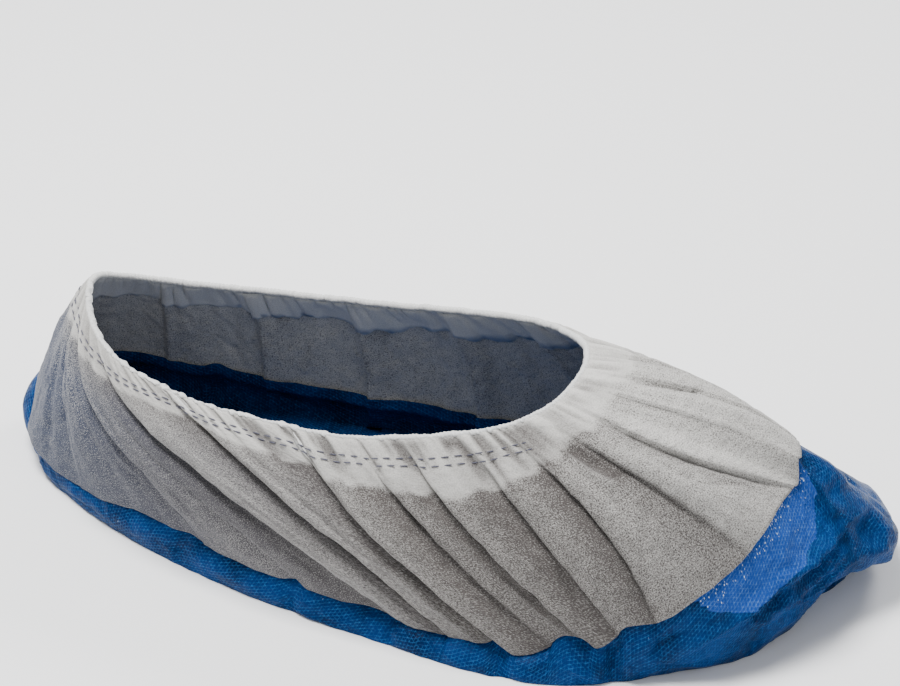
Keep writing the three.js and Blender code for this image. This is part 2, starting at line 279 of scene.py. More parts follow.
def cloth_point(station, level, droop=0.0):
    """Point of the cloth's mean surface and the direction out of it."""
    station, level = np.broadcast_arrays(station, level)
    down = at_station("edge", station) - at_station("rim", station)
    belly = at_station("cloth_belly", station) * 4 * level * (1 - level)
    return swollen(station, level, partial(at_station, "rim"),
                   partial(hanging_edge, droop=droop), down, belly)


def fold_widths(levels):
    """Width of each fold at each level, mm."""
    valleys = valley_stations(levels)
    points = cloth_point(valleys, np.asarray(levels, float)[:, None])[0]
    return np.linalg.norm(np.diff(points, axis=1), axis=2)


# columns of the mesh, each with its fold's number and its share of the fold's width, 0 to 1
columns_in = fold_widths([0.0, 0.5, 1.0]) / np.array(COLUMN_PITCH)[:, None]
columns_in = np.ceil(columns_in.max(axis=0)).astype(int)
FOLD_OF = np.repeat(np.arange(len(FOLDS)), columns_in)
SHARE_OF = np.concatenate([np.arange(count) / count for count in columns_in])
PROFILE_OF = np.sin(np.pi * SHARE_OF ** FOLD_LEAN) ** FOLD_CROWN


def of_fold(key):
    """A column of the folds, for each column of the mesh."""
    return np.array([fold[key] for fold in FOLDS])[FOLD_OF]


def column_stations(levels):
    """Station of each column of the mesh (second axis) at each level (first axis)."""
    valleys = valley_stations(levels)
    return valleys[:, FOLD_OF] * (1 - SHARE_OF) + valleys[:, FOLD_OF + 1] * SHARE_OF


# places where the weld is drawn up (below 0) or sags: station, half width in stations, mm
EDGE_TUCKS = [(2.6, 0.4, -2.8), (3.05, 0.09, -1.5), (3.95, 0.08, -2.0), (4.65, 0.3, -2.0),
              (6.1, 0.09, -3.0), (9.98, 0.32, 3.0), (10.1, 0.09, 2.5), (10.3, 0.09, -5.0),
              (10.5, 0.12, 1.5), (10.9, 0.2, -1.8), (13.0, 0.1, -3.0), (15.5, 0.2, -3.0),
              (17.0, 0.1, -3.0)]
edge_stations = column_stations([1.0])[0]
DROOP_OF = of_fold("droop") * np.sin(np.pi * SHARE_OF ** 0.7)
for station, spread, depth in EDGE_TUCKS:
    DROOP_OF = DROOP_OF + depth * np.exp(-((edge_stations - station) / spread) ** 2)


def crumple(points, *humps):
    """An even random relief at points, mm, of humps: a height and a distance apart in mm, and
    a seed for each size of them."""
    waves = 18
    total = np.zeros(points.shape[:-1])
    for height, apart, seed in humps:
        chance = np.random.default_rng(seed)
        for _ in range(waves):
            heading = unit(chance.normal(size=3)) / (apart * chance.uniform(0.6, 1.6))
            phase = chance.uniform(0, 2 * np.pi)
            total += height / np.sqrt(waves) * np.sin(2 * np.pi * (points @ heading) + phase)
    return total


def nearest_on_path(points, path):
    """Distance from each point to a path, mm, and how far along the path that is, 0 to 1."""
    lengths = np.concatenate([[0], np.cumsum(np.linalg.norm(np.diff(path, axis=0), axis=1))])
    best = np.full(points.shape[:-1], 1e9)
    along = np.zeros(points.shape[:-1])
    for start, end, before, after in zip(path[:-1], path[1:], lengths[:-1], lengths[1:]):
        step = end - start
        t = np.clip((points - start) @ step / (step @ step), 0, 1)
        distance = np.linalg.norm(points - start - t[..., None] * step, axis=-1)
        closer = distance < best
        best = np.where(closer, distance, best)
        along = np.where(closer, (before + t * (after - before)) / lengths[-1], along)
    return best, along


def relief_along(points, surface, marks, half_width, height, crisp=False):
    """Height of a ridge, or below 0 of a groove, along marks, each a station and a level, mm.
    It is rounded, or if it is crisp runs up to an edge."""
    marks = np.array(marks, float)
    where = np.linspace(0, len(marks) - 1, 6 * (len(marks) - 1) + 1)
    stations, levels = (np.interp(where, np.arange(len(marks)), marks[:, k]) for k in (0, 1))
    distance, along = nearest_on_path(points, surface(stations, levels)[0])
    beside = distance / half_width
    section = np.clip(1 - beside, 0, 1) ** 1.4 if crisp else np.clip(1 - beside ** 2, 0, 1) ** 2
    return height * section * np.sin(np.pi * np.clip(along, 0.03, 0.97)) ** 0.6


def row_normals(points):
    """Outward directions of a grid of points, rows down and columns round."""
    down = np.gradient(points, axis=0)
    along = np.roll(points, -1, axis=1) - np.roll(points, 1, axis=1)
    return unit(np.cross(down, along))


def lengths_down(points):
    """Length down each column of a grid of points, from its first row."""
    return np.cumsum(np.linalg.norm(np.diff(points, axis=0, prepend=points[:1]), axis=2), axis=0)


def lengths_round(points):
    """Length round each row of a grid of points, from its first column to past its last one."""
    closed = np.concatenate([points, points[:, :1]], axis=1)
    steps = np.linalg.norm(np.diff(closed, axis=1), axis=2)
    return np.concatenate([np.zeros((len(points), 1)), np.cumsum(steps, axis=1)], axis=1)


# the large folds
rim_drop = np.linalg.norm(at_station("edge", column_stations([0.0])[0])
                          - at_station("rim", column_stations([0.0])[0]), axis=-1)
first_level = CLOTH_START / rim_drop.mean()
levels = np.linspace(first_level, 1, CLOTH_ROWS)
stations = column_stations(levels)
cloth, cloth_out = cloth_point(stations, levels[:, None], DROOP_OF)
mean_cloth = cloth
height = np.minimum(of_fold("lift"), FOLD_RATIO * fold_widths(levels)[:, FOLD_OF])
height *= (np.clip(levels / FOLD_RISE, 0, 1) * (1 - FOLD_EASE * levels ** 4))[:, None]
cloth_along = unit(np.roll(cloth, -1, axis=1) - np.roll(cloth, 1, axis=1))
cloth = cloth + cloth_out * (height * (PROFILE_OF - FOLD_SINK))[..., None]
cloth = cloth - cloth_along * (FOLD_TUCK * height * PROFILE_OF * (1 - SHARE_OF))[..., None]

# shallow waves across each fold, in three sizes, that die out in its valleys
RIPPLES = (2, 3, 5)  # how many of each size fit in a fold
RIPPLE_HEIGHTS = (0.44, 1.21)  # least and greatest, against that number, mm
RIPPLE_DRIFT = 2.5  # how far they wander on the way down, at most, radians
chance = np.random.default_rng(11)
waves = np.zeros_like(height)
for ripples in RIPPLES:
    phase = chance.uniform(0, 2 * np.pi, len(FOLDS))[FOLD_OF]
    drift = chance.uniform(-RIPPLE_DRIFT, RIPPLE_DRIFT, len(FOLDS))[FOLD_OF]
    strength = chance.uniform(*RIPPLE_HEIGHTS, len(FOLDS))[FOLD_OF] / ripples
    waves += strength * np.sin(2 * np.pi * ripples * SHARE_OF + phase + drift * levels[:, None])
waves *= np.sin(np.pi * SHARE_OF) ** 0.7
waves *= (smooth(0.1, 0.35, levels) * (1 - 0.5 * smooth(0.8, 1.0, levels)))[:, None]
waves *= np.clip(fold_widths(levels)[:, FOLD_OF] / 25, 0.2, 1)

# larger creases: marks, each a station and a level; half width and height, mm
CLOTH_CREASES = [
    ([(7.85, 0.64), (7.75, 0.74), (7.65, 0.84), (7.65, 0.93)], 1.8, 1.1),
    ([(8.35, 0.57), (8.3, 0.68), (8.2, 0.75), (8.05, 0.84)], 1.8, 1.1),
    ([(8.52, 0.18), (8.6, 0.3), (8.7, 0.43)], 3.5, -2.2),
    ([(8.4, 0.08), (8.44, 0.2), (8.5, 0.34), (8.6, 0.48)], 1.3, 1.2),
    ([(7.5, 0.62), (7.45, 0.75), (7.4, 0.87)], 2.5, -1.5),
    ([(10.1, 0.23), (10.25, 0.31), (10.3, 0.35), (10.45, 0.45), (10.65, 0.51)], 1.5, -1.3),
    ([(9.35, 0.6), (9.55, 0.72), (9.75, 0.87)], 1.5, -0.9),
    ([(9.5, 0.58), (9.68, 0.7), (9.85, 0.87)], 1.5, -0.8),
    ([(9.25, 0.68), (9.45, 0.78), (9.7, 0.9)], 1.5, -0.8),
    ([(9.9, 0.55), (10.05, 0.72), (10.15, 0.88)], 1.8, -0.9),
    ([(0.95, 0.42), (0.97, 0.52), (0.95, 0.63)], 1.4, 0.7),
    ([(1.5, 0.45), (1.52, 0.54), (1.5, 0.63)], 1.4, 0.7),
]
creases = np.zeros_like(height)
for marks, half_width, lift in CLOTH_CREASES:
    creases += relief_along(mean_cloth, cloth_point, marks, half_width, lift)

# small creases left from packing and wear, most of them along the folds
SMALL_CREASES = 160
SMALL_REACH = (3, 8)  # half their length, least and below, in rows
SMALL_SLANT = 6  # columns to either side that they run across, at most
SMALL_WIDTHS = (1.2, 2.4)  # half widths, mm
SMALL_HEIGHTS = (0.25, 0.6)  # mm
SMALL_START = 11  # rows at each end of the cloth without one's middle
for _ in range(SMALL_CREASES):
    column = chance.integers(len(FOLD_OF))
    row = chance.integers(SMALL_START, CLOTH_ROWS - SMALL_START)
    reach = chance.integers(*SMALL_REACH)
    slant = chance.integers(-SMALL_SLANT, SMALL_SLANT + 1)
    marks = [(stations[row - reach, column], levels[row - reach]),
             (stations[row, (column + slant // 2) % len(FOLD_OF)], levels[row]),
             (stations[row + reach, (column + slant) % len(FOLD_OF)], levels[row + reach])]
    if max(m[0] for m in marks) - min(m[0] for m in marks) < 2:
        creases += relief_along(mean_cloth, cloth_point, marks, chance.uniform(*SMALL_WIDTHS),
                                chance.choice([-1, 1]) * chance.uniform(*SMALL_HEIGHTS))

# gathers: puckers that the elastic presses into the cloth, each fading out on its way down
GATHERS_APART = (1.2, 3.4)  # least and greatest, mm
GATHER_WIDTHS = (0.6, 1.5)  # half widths at the rim, mm
GATHER_REACHES = (7, 32)  # how far down they go, mm
GATHER_HEIGHTS = (0.5, 2.2)  # mm, one on another
GATHER_SPREAD = 25  # depth at which one is twice as wide as at the rim, mm
DEEPEST_GATHER = 1.3  # what they may come to, one on another, mm
round_mm = lengths_round(cloth)
down_mm = lengths_down(cloth)
gathers = np.zeros_like(height)
place = 0.0
while place < round_mm[0, -1]:
    column = np.interp(place, round_mm[0, :-1], np.arange(len(FOLD_OF)))
    strength = at_station("pleats", np.interp(column, np.arange(len(FOLD_OF)), stations[0]))
    half_width, reach = chance.uniform(*GATHER_WIDTHS), chance.uniform(*GATHER_REACHES)
    lift = chance.choice([-1.0, -0.8, 0.8]) * chance.uniform(*GATHER_HEIGHTS) * strength
    centre = np.array([np.interp(column, np.arange(len(FOLD_OF)), row[:-1]) for row in round_mm])
    beside = round_mm[:, :-1] - centre[:, None]
    turn = round_mm[:, -1:]
    beside = (beside + turn / 2) % turn - turn / 2
    width = half_width * (1 + down_mm / GATHER_SPREAD)
    fading = (1 - smooth(0.3 * reach, reach, down_mm)) * (0.35 + 0.65 * smooth(0.0, 3.5, down_mm))
    gathers += lift * np.exp(-(beside / width) ** 2) * fading
    place += chance.uniform(*GATHERS_APART)
gathers = DEEPEST_GATHER * np.tanh(gathers / DEEPEST_GATHER)

# height, distance apart and seed of the humps in the cloth, and of the turned-in part's edge
CLOTH_CRUMPLE = ((0.28, 17, 3), (0.13, 7, 4))
BAND_CRUMPLE = ((1.5, 9, 5), (1.2, 30, 6))
crumpled = crumple(cloth, *CLOTH_CRUMPLE) * smooth(0.05, 0.3, levels)[:, None]
cloth = cloth + row_normals(cloth) * (waves + creases + gathers + crumpled)[..., None]
cloth_normal = row_normals(cloth)
down_mm = lengths_down(cloth)

# how the cloth is backed: double where it is turned in; dark or blue by what lies behind it,
# with painted shade in the dark. On each fold the crest gets painted light and is paler, and its
# falling side and valley get painted shade and are darker.
SIDE_DARKER = 0.2
CREST_PALER = 0.13
VALLEY_DARKER = 0.1
TONED_FROM = 4  # height of a fold that has these tones in full, mm
VALLEY_WIDTH = 1.3  # mm
HEEL_TOP_PALER = 0.35  # where the cloth stands off the film behind it
SEEN_FROM_INSIDE = 0.4  # from inside, daylight comes through the cloth, so it looks paler
band = at_station("double", stations) + crumple(cloth, *BAND_CRUMPLE)
is_double = 1 - smooth(-1.2, 2.2, down_mm + CLOTH_START - band)
crest = smooth(0.02, 0.12, SHARE_OF) * (1 - smooth(0.3, 0.7, SHARE_OF))
painted_fold_light_and_shade = SIDE_DARKER * smooth(0.5, 0.98, SHARE_OF) - CREST_PALER * crest
toned = np.clip(height / TONED_FROM, 0, 1)
film_behind = at_station("blue", stations)
darkness = at_station("dark", stations) + (painted_fold_light_and_shade + of_fold("tone")) * toned
darkness -= HEEL_TOP_PALER * film_behind * (1 - smooth(0.2, 0.65, levels))[:, None]
blueness = film_behind * smooth(0.05, 0.35, levels)[:, None]
from_valley = np.minimum(SHARE_OF * 2.2, 1 - SHARE_OF) * fold_widths(levels)[:, FOLD_OF]
# painted shade in the hollows of the gathers, the grooves of the creases and the folds' valleys,
# and a little painted light on the gathers that stand out
painted_hollow_shade = (np.clip(-0.42 * gathers, -0.12, 0.55) + np.clip(-0.16 * creases, 0, 0.3)
           + VALLEY_DARKER * np.exp(-(from_valley / VALLEY_WIDTH) ** 2) * toned)


def pattern_charts(points, fold_by_fold):
    """Pattern coordinates in mm of a grid's columns and of their right-hand sides, in one chart
    that is true a third of the way down, or in one for each fold that is true all over."""
    down, along = lengths_down(points), lengths_round(points)
    if fold_by_fold:
        along_start = along[:, np.searchsorted(FOLD_OF, FOLD_OF)]
        shift = 41.7 * FOLD_OF - along_start
    else:
        along = np.broadcast_to(along[len(points) // 3], along.shape)
        shift = 0.0
    return (np.stack([along[:, :-1] + shift, down], axis=-1),
            np.stack([along[:, 1:] + shift, np.roll(down, -1, axis=1)], axis=-1))


def thin_wall(name, points, inward, charts, attributes, floor=None):
    """A closed thin wall from a grid of points, rows down and columns round, and its copy
    inward. With a floor, a triangle list for the last row, it has no lower edge."""
    number = np.arange(points[..., 0].size).reshape(points.shape[:2])
    copy = number.size
    corners = np.stack([number, np.roll(number, -1, axis=1)])
    uv = np.stack(charts)

    def bands(grid, lift):
        """The outer wall's quads, the inner wall's, and those of the upper and lower edge."""
        left, right = grid
        outer = np.stack([left[:-1], left[1:], right[1:], right[:-1]], axis=2)
        upper = np.stack([left[0], right[0], right[0] + lift, left[0] + lift], axis=1)
        lower = np.stack([right[-1], left[-1], left[-1] + lift, right[-1] + lift], axis=1)
        outer = outer.reshape(-1, 4, *outer.shape[3:])
        return [outer, outer[:, ::-1] + lift, upper] + ([lower] if floor is None else [])

    loose = [] if floor is None else number[-1][np.array(floor)]
    triangles = [*map(list, loose), *(list(copy + face[::-1]) for face in loose)]
    mesh = bpy.data.meshes.new(name)
    both = np.concatenate([points.reshape(-1, 3), (points + inward).reshape(-1, 3)]) * MM
    mesh.from_pydata(both.tolist(), [], np.concatenate(bands(corners, copy)).tolist() + triangles)
    loose_uv = both[sum(triangles, []), :2] / MM
    flat_uv = np.concatenate([*bands(uv, 0), loose_uv], axis=None)
    layer = mesh.uv_layers.new(name="cloth_mm")
    layer.data.foreach_set("uv", flat_uv.astype(np.float32))
    for key, (outside, inside) in attributes.items():
        values = np.concatenate([outside, inside], axis=None).astype(np.float32)
        mesh.attributes.new(key, "FLOAT", "POINT").data.foreach_set("value", values)
    mesh.shade_smooth()
    return put_in_scene(name, mesh)


# from the boot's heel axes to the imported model's, by the film's outermost points
FILM_REACH = (-30.88, -76.04)
film_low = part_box("sole_film")[0]
TO_MODEL = np.array([film_low[0] / MM - FILM_REACH[0], film_low[1] / MM - FILM_REACH[1], 0.0])

upper = thin_wall("nonwoven_upper", cloth + TO_MODEL, -cloth_normal * CLOTH_WALL,
                  pattern_charts(cloth, fold_by_fold=True),
                  {"double": (is_double, is_double), "painted_hollow_shade": (painted_hollow_shade, painted_hollow_shade),
                   "darkness": (darkness, darkness * SEEN_FROM_INSIDE),
                   "blueness": (blueness, blueness * SEEN_FROM_INSIDE)})

# Spunbond: matt and a little furry. The threads lie unevenly, so it looks cloudy, and light goes
# through the melted points, so they look dark over a dark inside and vanish where it is double.
# the cloth's white, and the colours that see-through and painted shade darken it towards: over a
# dark inside, and over the film
CLOTH_WHITE = "cac8c3"
CLOTH_SHADED_AND_OVER_DARK = "4a4543"
CLOTH_OVER_FILM = "26324c"
BOND_PITCH = 1.05  # between melted points, mm
THREAD_TANGLE = 0.5  # size of the tangles of threads, mm: real ones are too fine to show
CLOUD = 5.0  # size of thick and thin patches, mm
DARKEST = 1.04  # how far the cloth may be darkened, by what lies behind it and by painted shade, before mottling
PUCKER = 3.2  # size of the small puckers between bonded areas, mm

spunbond, shader, node = new_material("spunbond polypropylene")
place = node("ShaderNodeUVMap", uv_map="cloth_mm")
double, dark, blue, hollow_shade = (
    node("ShaderNodeAttribute", attribute_name=key).outputs["Fac"]
    for key in ("double", "darkness", "blueness", "painted_hollow_shade"))
to_point = node("ShaderNodeTexVoronoi", {"Vector": place, "Scale": 1 / BOND_PITCH,
    "Randomness": 0.6})
melted = node("ShaderNodeMapRange", {"Value": to_point, "From Min": 0.5, "From Max": 0.15},
    interpolation_type="SMOOTHSTEP")
threads, clouds, puckers = (
    node("ShaderNodeTexNoise", {"Vector": place, "Scale": 1 / size, "Detail": detail,
                                "Roughness": rough})
    for size, detail, rough in ((THREAD_TANGLE, 3, 0.65), (CLOUD, 3, 0.6), (PUCKER, 1, 0.5)))
single = node("ShaderNodeMapRange", {"Value": double, "To Min": 1.0, "To Max": 0.4})
mottle = -1.59  # brings its mean to nothing
for pattern, weight in ((threads, 2.7), (clouds, 0.35), (melted, 0.3)):
    mottle = node("ShaderNodeMath", {0: pattern, 1: weight, 2: mottle}, operation="MULTIPLY_ADD")
# the white is darkened by the dark inside showing through and by painted shade, and paled by
# painted light on the crests
shade_and_see_through = node("ShaderNodeMath", {0: dark, 1: single, 2: hollow_shade}, operation="MULTIPLY_ADD")
shade_and_see_through = node("ShaderNodeMath", {0: shade_and_see_through, 1: DARKEST}, operation="MINIMUM")
shade_and_see_through = node("ShaderNodeMath", {0: mottle, 1: single, 2: shade_and_see_through}, operation="MULTIPLY_ADD",
    use_clamp=True)
shade_and_behind_colour = node("ShaderNodeMix", {0: blue, 6: linear(CLOTH_SHADED_AND_OVER_DARK), 7: linear(CLOTH_OVER_FILM)},
    data_type="RGBA").outputs[2]
colour = node("ShaderNodeMix", {0: shade_and_see_through, 6: linear(CLOTH_WHITE), 7: shade_and_behind_colour},
    data_type="RGBA").outputs[2]
fur = node("ShaderNodeMath", {0: melted, 1: -0.6, 2: threads}, operation="MULTIPLY_ADD")
soft_bump = node("ShaderNodeBump", {"Height": puckers, "Strength": 0.5, "Distance": 0.9 * MM})
fine_bump = node("ShaderNodeBump", {"Height": fur, "Strength": 0.6, "Distance": 0.15 * MM,
    "Normal": soft_bump})
roughness = node("ShaderNodeMapRange", {"Value": melted, "To Min": 0.92, "To Max": 0.7})
fill(shader, {"Base Color": colour, "Normal": fine_bump, "Roughness": roughness,
              "Specular IOR Level": 0.25, "Sheen Weight": 0.15, "Sheen Roughness": 0.5})

upper.data.materials.append(spunbond)
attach(upper, "root")
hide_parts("upper")


# ---- Film sole ----
# A bag of blue embossed polyethylene film, about 0.08 mm thick and much longer than the boot,
# heat-welded behind the upper's edge. It lies flat under the boot and stands up round it in the
# same folds as the upper, with an empty pouch in front of the toe.

FILM_WALL = 0.5  # the film with its embossing, drawn thicker than it is, mm
FILM_BEHIND = 1.2  # from the cloth's outer face in to the film's, mm
FILM_LAP = 0.92  # level at which the film starts, behind the cloth
FILM_STEEP = 0.8  # cloth that faces aside further than this, as a cosine, counts as steep
FILM_SIDE_ROWS = 49
FILM_FLOOR_ROWS = 10
FILM_FOLD_SHARE = 0.45  # how much of the cloth's folds carries on into the film
SPINE = (25.0, 255.0, 2.0)  # a line along the middle of the floor: from X, to X, at Y, mm


def film_point(station, share, droop=0.0):
    """Point of the film's mean surface, from the cloth's edge to the floor, and its way out."""
    station, share = np.broadcast_arrays(station, share)
    down = at_station("foot", station) - at_station("edge", station)
    sag = np.clip(at_station("sag", station), 0.3, 3)
    belly = at_station("film_belly", station) * np.sin(np.pi * share ** sag)
    return swollen(station, share, partial(hanging_edge, droop=droop),
                   partial(at_station, "foot"), down, belly, flat=(1, 1, 0))


shares = np.linspace(0, 1, FILM_SIDE_ROWS)
side, side_out = film_point(edge_stations, shares[:, None], DROOP_OF)
flat_side = side
edge_height = np.minimum(of_fold("lift"), FOLD_RATIO * fold_widths([1.0])[:, FOLD_OF])
relief = edge_height * (PROFILE_OF - FOLD_SINK) * FILM_FOLD_SHARE * (1 - shares[:, None]) ** 0.8

# creases of the film: marks, each a station and a share of the way down; half width, height, mm
FILM_CREASES = [
    ([(10.91, 0.36), (10.75, 0.32), (10.49, 0.29), (10.22, 0.26), (10.01, 0.21)], 2.4, 2.0),
    ([(10.62, 0.24), (10.4, 0.22), (10.2, 0.2)], 3.0, -0.7),
    ([(10.95, 0.4), (10.49, 0.34), (10.17, 0.36), (9.86, 0.37), (9.64, 0.36), (9.42, 0.33),
      (9.15, 0.33), (8.9, 0.38), (8.62, 0.42), (8.3, 0.44)], 3.6, 3.6),
    ([(10.3, 0.43), (9.9, 0.44), (9.5, 0.44), (9.15, 0.43), (8.8, 0.48)], 2.6, -2.2),
    ([(10.17, 0.48), (9.85, 0.5), (9.55, 0.52), (9.28, 0.54), (9.0, 0.51)], 2.0, 2.4),
    ([(10.37, 0.54), (10.0, 0.58), (9.61, 0.62), (9.29, 0.62)], 2.0, 2.2),
    ([(10.05, 0.67), (9.6, 0.72), (9.2, 0.7), (8.8, 0.66)], 3.5, -1.8),
    ([(10.85, 0.44), (10.67, 0.47), (10.52, 0.52)], 7.0, -6.0),
    ([(10.42, 0.56), (10.58, 0.57), (10.8, 0.62)], 3.5, 2.5),
    ([(10.13, 0.0), (10.34, 0.05), (10.26, 0.11)], 2.4, -3.5),
    ([(10.28, 0.1), (9.98, 0.19), (9.79, 0.28)], 2.0, 0.8),
    ([(7.75, 0.5), (7.95, 0.33), (8.2, 0.24)], 4.0, -2.2),
    ([(7.4, 0.06), (7.42, 0.45), (7.4, 0.92)], 5.5, -4.8),
    ([(6.98, 0.45), (7.1, 0.62), (7.2, 0.82)], 2.2, 1.8),
    ([(6.15, 0.05), (6.2, 0.5), (6.3, 0.95)], 5.0, -2.5),
    ([(4.84, 0.0), (4.9, 0.5), (4.95, 0.95)], 4.0, -2.0),
    ([(4.04, 0.0), (4.0, 0.5), (4.05, 0.95)], 3.5, -2.0),
    ([(3.05, 0.0), (3.0, 0.5), (3.05, 0.95)], 3.5, -2.0),
    ([(11.2, 0.2), (11.5, 0.45), (11.6, 0.75)], 5.0, -1.8),
    ([(10.65, 0.02), (10.85, 0.1), (11.05, 0.18), (11.15, 0.26)], 14.0, 5.5),
    ([(9.9, 0.98), (10.2, 0.86), (10.6, 0.86), (10.95, 0.95)], 11.0, -8.0),
    ([(10.8, 0.46), (10.92, 0.55), (10.95, 0.66)], 2.6, 2.2),
    ([(10.98, 0.34), (11.15, 0.44), (11.2, 0.58)], 3.0, -2.2),
    ([(12.7, 0.15), (12.8, 0.5), (12.9, 0.9)], 5.0, -3.0),
    ([(14.1, 0.05), (14.2, 0.5), (14.2, 0.95)], 4.0, -2.5),
    ([(15.8, 0.05), (15.8, 0.5), (15.8, 0.95)], 4.0, -2.5),
    ([(17.0, 0.05), (17.1, 0.5), (17.1, 0.95)], 4.0, -2.5),
]
CREASE_SPREAD = 1.25  # width of a crease's foot against the width in the table
SOFT_FROM = 8  # half width from which a crease is rounded, mm
for marks, half_width, lift in FILM_CREASES:
    relief += relief_along(flat_side, film_point, marks, CREASE_SPREAD * half_width, lift,
                           crisp=half_width < SOFT_FROM)

# and small sharp ones, more than half of them in the slack film round the toe
SHARP_CREASES = 110
TOE_STATIONS = (7.5, 12.5)
SHARP_WIDTHS = (2.2, 3.6)  # half widths, mm
SHARP_HEIGHTS = (0.4, 1.1)  # mm
chance = np.random.default_rng(23)
for _ in range(SHARP_CREASES):
    station = chance.choice([chance.uniform(0, len(STATIONS)), chance.uniform(*TOE_STATIONS)])
    share, lean = chance.uniform(0.2, 0.9), chance.uniform(-0.35, 0.35)
    reach, bend = chance.uniform(0.05, 0.2), chance.uniform(-0.1, 0.1)
    marks = [(station - lean, share - reach), (station + bend, share),
             (station + lean, share + reach)]
    half_width = chance.uniform(*SHARP_WIDTHS)
    lift = chance.choice([-1, 1]) * chance.uniform(*SHARP_HEIGHTS)
    relief += relief_along(flat_side, film_point, marks, half_width, lift, crisp=True)
FILM_CRUMPLE = ((0.7, 21, 21), (0.3, 8, 22))  # humps: height, distance apart and seed
slack = 0.5 + 0.4 * smooth(8.5, 10.5, edge_stations) * (1 - smooth(12.0, 13.5, edge_stations))
relief += slack * crumple(flat_side, *FILM_CRUMPLE) * smooth(0.0, 0.25, shares)[:, None]
side = side + side_out * relief[..., None]
side[:, :, 2] = np.maximum(side[:, :, 2], 0)
side[-1, :, 2] = 0

# its upper end is welded behind the cloth, and follows the cloth's own last rows; under a crest
# that hangs over, it keeps to the mean surface's way in, so that it stays inside the fold
lap_rows = levels > FILM_LAP
facing = np.sum(cloth_normal[lap_rows] * cloth_out[lap_rows], axis=-1, keepdims=True)
turned_out = cloth_out[lap_rows] * np.clip(FILM_STEEP - facing, 0, 1.5)
way_out = unit(cloth_normal[lap_rows] + turned_out)
lap = cloth[lap_rows] - way_out * FILM_BEHIND
side = side + (lap[-1] - side[0]) * ((1 - shares) ** 2)[:, None, None]

# its floor runs in from the foot line to the middle
foot = side[-1]
spine = np.stack([np.clip(foot[:, 0], SPINE[0], SPINE[1]), np.full(len(foot), SPINE[2]),
                  np.zeros(len(foot))], axis=1)
FLOOR_CRUMPLE = ((1.1, 26, 31), (0.44, 9, 32))
inward_shares = np.linspace(0, 0.96, FILM_FLOOR_ROWS + 1)[1:, None, None]
floor = foot + (spine - foot) * inward_shares
humps = np.clip(crumple(floor, *FLOOR_CRUMPLE), 0, 2.2)
floor[..., 2] = humps * smooth(0.0, 0.25, inward_shares[..., 0])

film = np.concatenate([lap, side[1:], floor])
film_normal = row_normals(film)
first_floor_row = len(film) - FILM_FLOOR_ROWS
film_normal[first_floor_row:] = (0, 0, -1)
film_normal[first_floor_row - 1] = unit(film_normal[first_floor_row - 2] * (1, 1, 0) - (0, 0, 1))

# triangles that close the last row: from the heel's end to the toe's along both sides
ring = film[-1]
heel_end, toe_end = int(np.argmin(ring[:, 0])), int(np.argmax(ring[:, 0]))
count = len(ring)
outer_side = [(heel_end + k) % count for k in range((toe_end - heel_end) % count + 1)]
inner_side = [(heel_end - k) % count for k in range((heel_end - toe_end) % count + 1)]
zip_up = []
while len(outer_side) > 1 or len(inner_side) > 1:
    outer_is_next = len(inner_side) == 1 or (
        len(outer_side) > 1 and ring[outer_side[1], 0] < ring[inner_side[1], 0])
    side_on = outer_side if outer_is_next else inner_side
    corner = (outer_side[0], inner_side[0], side_on[1])
    side_on.pop(0)
    if len(set(corner)) == 3:
        zip_up.append(corner)

# the panel under the straight part of the cloth's toe edge, where the film lies on a margin of
# cloth and so is lighter: how far down it reaches, by station
PANEL = ((8.35, 0.0), (8.47, 0.19), (8.69, 0.32), (8.87, 0.38), (9.14, 0.33), (9.45, 0.32),
         (9.79, 0.28), (9.98, 0.19), (10.28, 0.11), (10.4, 0.0))
panel_reach = np.interp(edge_stations, *zip(*PANEL), left=-1, right=-1)
share_of_row = np.concatenate([np.zeros(len(lap)), shares[1:], np.full(FILM_FLOOR_ROWS, 1.2)])
panel = 1 - smooth(-0.015, 0.015, share_of_row[:, None] - panel_reach)

film_sole = thin_wall("film_sole", film + TO_MODEL, -film_normal * FILM_WALL,
                      pattern_charts(film, fold_by_fold=False), {"panel": (panel, panel)}, zip_up)

# Low-density polyethylene: a glossy soft plastic skin, coloured blue right through. An embossing
# roll has stamped fine crossing ribs into it, which catch the light unevenly; where they do, they
# are painted a lighter blue and carry small white painted glints.
FILM_BLUE = "003068"
FILM_DEEP = "00163a"
PANEL_BLUE = "184290"
LIT_RIB_BLUE = "2c78bc"
LIT_PANEL_RIB_BLUE = "6c98d8"
PAINTED_GLINT = "d6e6f7"
FACET = 13.0  # size of the flat facets between its sharp creases, mm
RIB_PITCH = 1.4  # between ribs of one family, mm: drawn twice as coarse as they are
RIBS = [("down", (1.0, 0.15, 0.0), 0.6), ("left", (0.34, 0.94, 0.0), 0.9),
        ("right", (-0.58, 0.81, 0.0), 0.4)]  # family, the way across it, how strong it is
GLINT_PITCH = (0.9, 1.7, 1.0)  # between places that may get a painted glint, mm
GLINTS_TO = (9.0, 20.0)  # most of them lie in the film's first millimetres, from, to
# patterns: small creases, deeper-coloured patches, stretches whose ribs get a painted highlight,
# clusters of painted glints, and the embossing's wandering; size in mm, detail, roughness and
# distortion
FILM_PATTERNS = ((20 / 7, 4, 0.65, 0.6), (20, 2, 0.5, 0), (2, 4, 0.7, 0), (25 / 3, 1, 0.5, 0),
                 (12.5, 1, 0.5, 0))
WANDER_RIBS, WANDER_FACETS = (1.5, 1.5, 0.0), (30.0, 30.0, 0.0)  # mm

